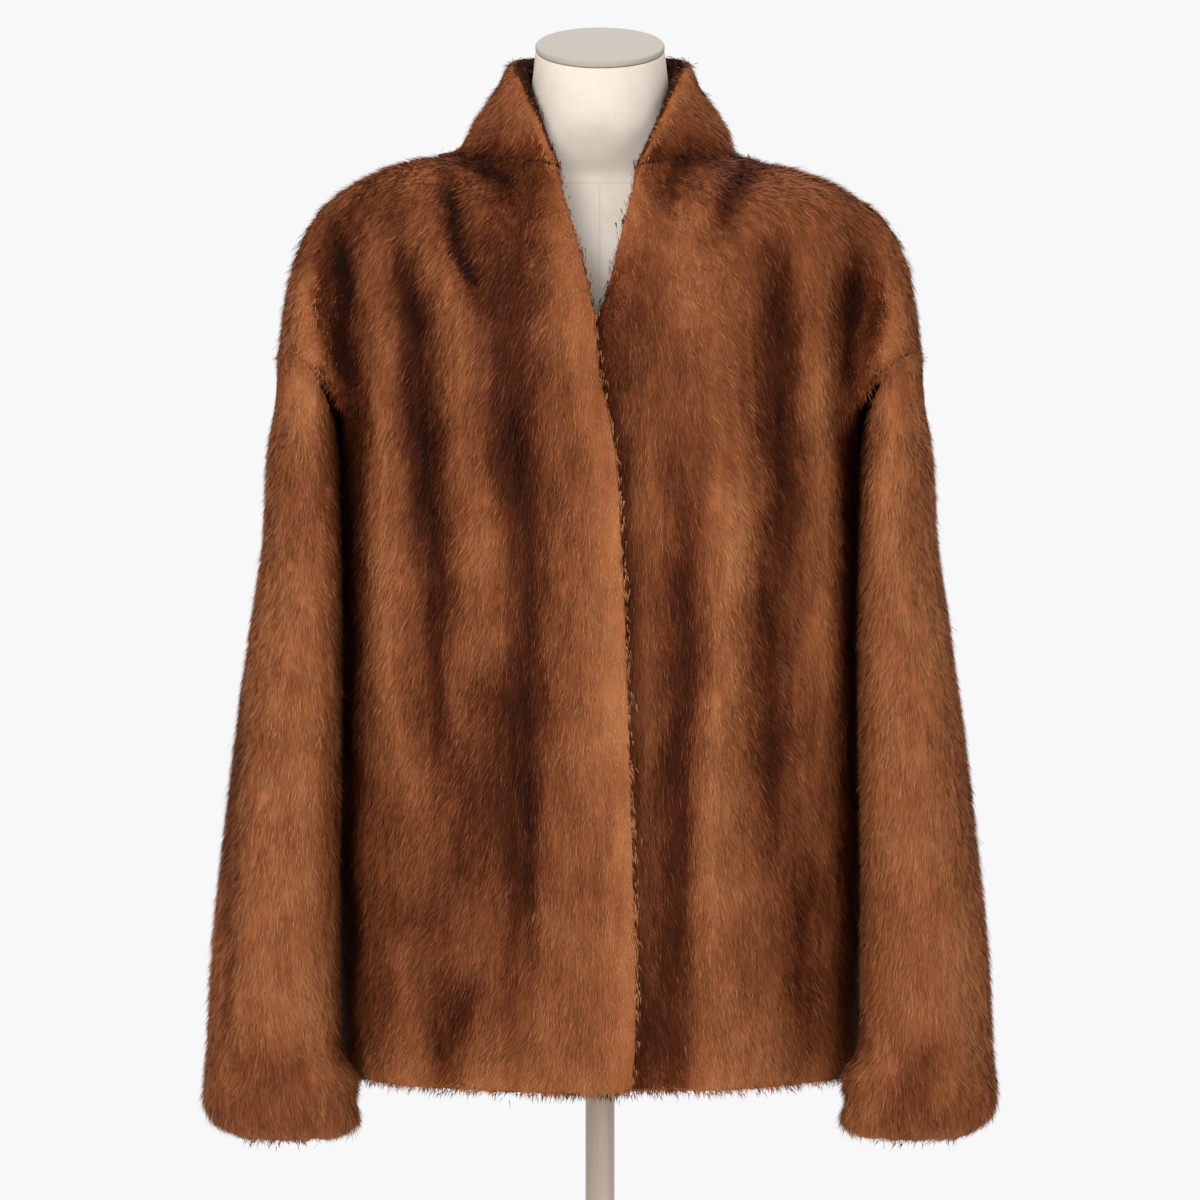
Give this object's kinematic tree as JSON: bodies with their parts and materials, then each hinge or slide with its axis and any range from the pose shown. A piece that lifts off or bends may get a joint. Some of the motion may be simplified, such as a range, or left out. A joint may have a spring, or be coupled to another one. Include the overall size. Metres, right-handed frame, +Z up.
{
  "type": "faux fur coat on a dress form",
  "caption": "Short open faux fur coat with a stand collar, dropped shoulders and gathered cuffs, worn by a limbless dress form on a pole with a round base.",
  "frame": {"origin": "on the floor, at the centre of the round base's underside", "axes": "+Z up along the pole; the coat's front faces -Y; +X is towards the wearer's left arm"},
  "size_m": [0.5996, 0.36, 1.4604],
  "materials": {
    "front_right": "brown deep-pile faux fur",
    "front_left": "brown deep-pile faux fur",
    "back": "brown deep-pile faux fur",
    "collar": "brown deep-pile faux fur",
    "sleeve_right": "brown deep-pile faux fur",
    "sleeve_left": "brown deep-pile faux fur",
    "dress_form": "beige linen cover",
    "neck_cap": "matt cream lacquer",
    "pole": "satin grey-taupe lacquer",
    "base": "satin grey-taupe lacquer"
  },
  "bodies": {
    "root": {"front_right": "front_right", "front_left": "front_left", "back": "back", "collar": "collar", "sleeve_right": "sleeve_right", "sleeve_left": "sleeve_left", "dress_form": "dress_form", "neck_cap": "neck_cap", "pole": "pole", "base": "base"}
  },
  "joints": []
}
